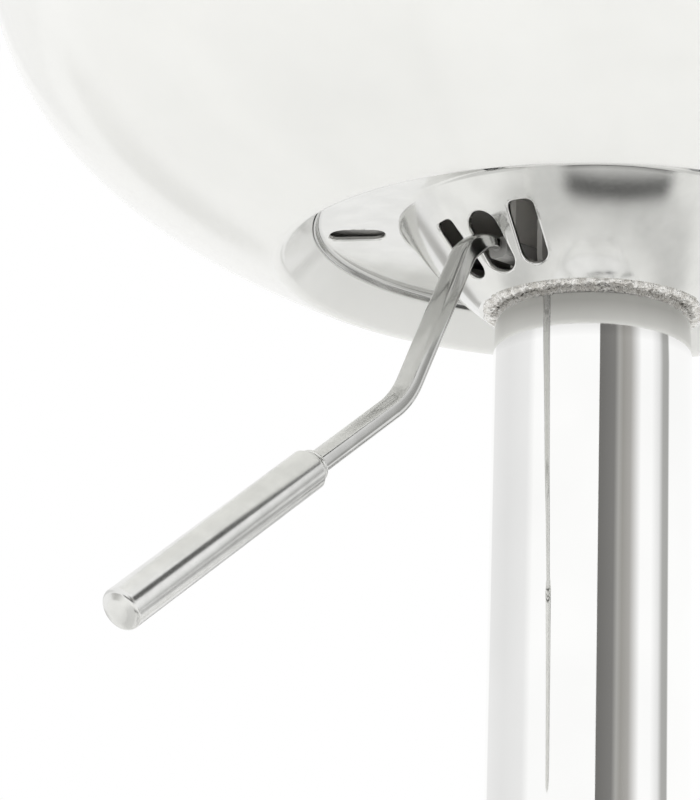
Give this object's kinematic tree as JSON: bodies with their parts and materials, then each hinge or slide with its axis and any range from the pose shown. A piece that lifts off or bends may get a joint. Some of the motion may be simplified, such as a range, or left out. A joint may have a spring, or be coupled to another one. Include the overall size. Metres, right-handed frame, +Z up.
{
  "type": "bar stool",
  "caption": "Gas-lift bar stool: white moulded bowl seat on a chrome bell and column, height lever, loop foot bar and round trumpet base.",
  "frame": {"origin": "centre of the base on the floor", "axes": "+Z up along the column, -Y the way the sitter faces, -X the sitter's right, where the lever is"},
  "size_m": [0.383, 0.381, 0.8444],
  "materials": {
    "chrome": "polished",
    "zinc_steel": "zinc plated",
    "cast_iron": "raw",
    "black_paint": "satin",
    "brass": "turned",
    "white_plastic": "glossy",
    "black_plastic": "moulded",
    "rubber": "matte"
  },
  "bodies": {
    "base": {"floor_ring": "rubber", "base_ballast": "cast_iron", "base_trumpet": "chrome", "pillar_foot": "zinc_steel", "foot_bolt_1": "zinc_steel", "foot_bolt_2": "zinc_steel", "foot_bolt_3": "zinc_steel", "pillar_tube": "chrome", "neck_collar": "chrome", "guide_bush": "black_plastic", "pillar_glide_ring": "black_plastic", "bearing_lower_race": "zinc_steel"},
    "cage": {"bearing_cage": "brass"},
    "rod": {"bearing_upper_race": "zinc_steel", "piston_rod": "chrome", "piston_head": "black_plastic", "rod_clip": "zinc_steel", "rod_buffer": "rubber"},
    "carriage": {"gas_cylinder": "zinc_steel", "cylinder_gland": "rubber", "taper_socket": "zinc_steel", "outer_tube": "chrome", "tube_glide_ring": "black_plastic", "bell_flange": "chrome", "weld_bead": "zinc_steel", "seat_plate": "black_paint", "lever_pivot_pin": "zinc_steel", "pin_clip": "zinc_steel", "seat_lower_shell": "white_plastic", "seat_upper_shell": "white_plastic", "seat_insert_1": "brass", "seat_insert_2": "brass", "seat_insert_3": "brass", "seat_insert_4": "brass", "seat_screw_1": "zinc_steel", "seat_screw_2": "zinc_steel", "seat_screw_3": "zinc_steel", "seat_screw_4": "zinc_steel", "footrest_collar": "chrome", "footrest_loop": "chrome", "footrest_screw_1": "zinc_steel", "footrest_screw_2": "zinc_steel"},
    "lever": {"lever_arm": "black_paint", "lever_rod": "chrome", "grip_collar": "chrome", "lever_grip": "chrome"},
    "valve": {"valve_button": "brass"}
  },
  "joints": [
    {"name": "seat_swivel", "type": "hinge", "parent": "base", "child": "rod", "pos_m": [0, 0, 0], "axis": [0, 0, 1], "continuous": true},
    {"name": "cage_spin", "type": "hinge", "parent": "base", "child": "cage", "pos_m": [0, 0, 0], "axis": [0, 0, 1], "continuous": true},
    {"name": "height_slide", "type": "slide", "parent": "rod", "child": "carriage", "axis": [0, 0, 1], "range_m": [0, 0.21]},
    {"name": "lever_lift", "type": "hinge", "parent": "carriage", "child": "lever", "pos_m": [-0.01452, -0.01653, 0.557], "axis": [-0.7513, 0.66, 0], "range_deg": [0, 8], "stiffness_Nm_per_rad": 2},
    {"name": "valve_press", "type": "slide", "parent": "carriage", "child": "valve", "axis": [0, 0, -1], "range_m": [0, 0.00315]}
  ],
  "couplings": [
    {"joint": "cage_spin", "follows": "seat_swivel", "ratio": 0.5},
    {"joint": "valve_press", "follows": "lever_lift", "m_per_rad": 0.0225}
  ]
}
